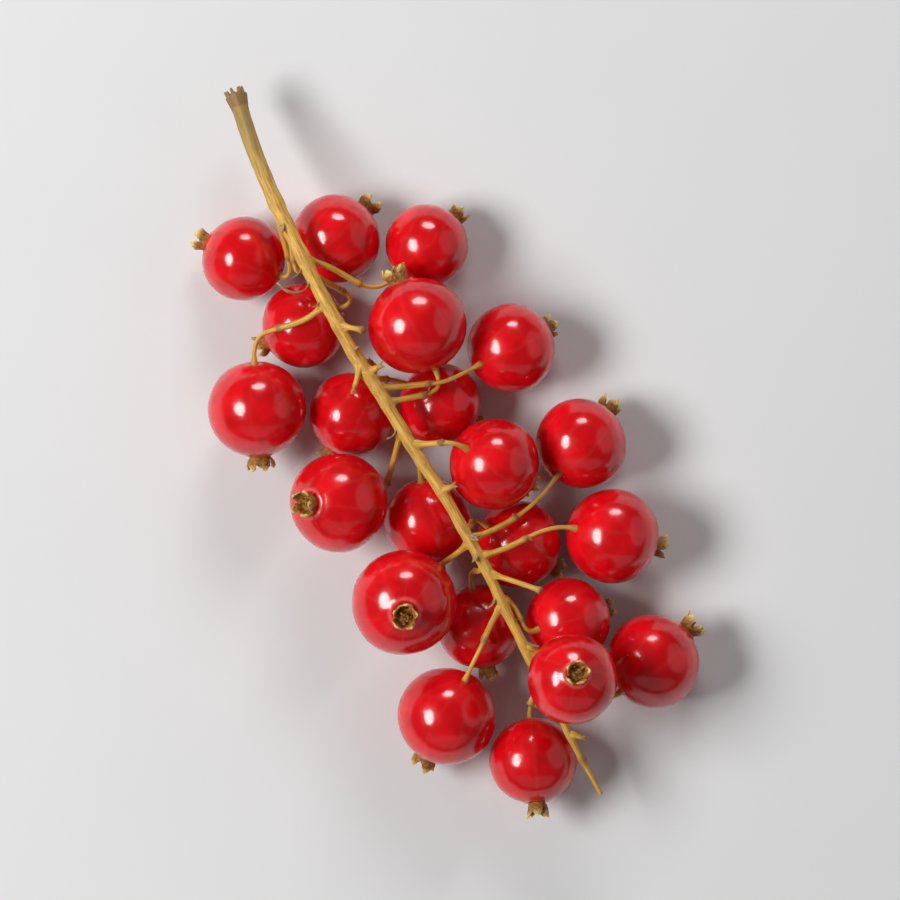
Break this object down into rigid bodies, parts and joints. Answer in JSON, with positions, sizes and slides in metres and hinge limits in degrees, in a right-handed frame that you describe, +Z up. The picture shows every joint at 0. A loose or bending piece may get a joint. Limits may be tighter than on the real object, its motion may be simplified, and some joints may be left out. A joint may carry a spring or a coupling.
{
  "type": "sprig of redcurrants",
  "caption": "Picked sprig of ripe redcurrants lying down: a thin golden stalk with round, glossy, translucent red berries on short side stalks, each ending in a dried brown calyx.",
  "frame": {"origin": "middle of the lying sprig's outline, at the height of the surface that it lies on", "axes": "+X along the main stalk from its picked end to its tip, +Z up"},
  "size_m": [0.083, 0.0388, 0.02],
  "materials": {
    "berry": "glossy",
    "stalk": "satin",
    "calyx": "matt"
  },
  "bodies": {
    "root": {"stalk": "stalk", "berry_01": "berry", "berry_02": "berry", "berry_03": "berry", "berry_04": "berry", "berry_05": "berry", "berry_06": "berry", "berry_07": "berry", "berry_08": "berry", "berry_09": "berry", "berry_10": "berry", "berry_11": "berry", "berry_12": "berry", "berry_13": "berry", "berry_14": "berry", "berry_15": "berry", "berry_16": "berry", "berry_17": "berry", "berry_18": "berry", "berry_19": "berry", "berry_20": "berry", "berry_21": "berry", "berry_22": "berry"}
  },
  "joints": []
}
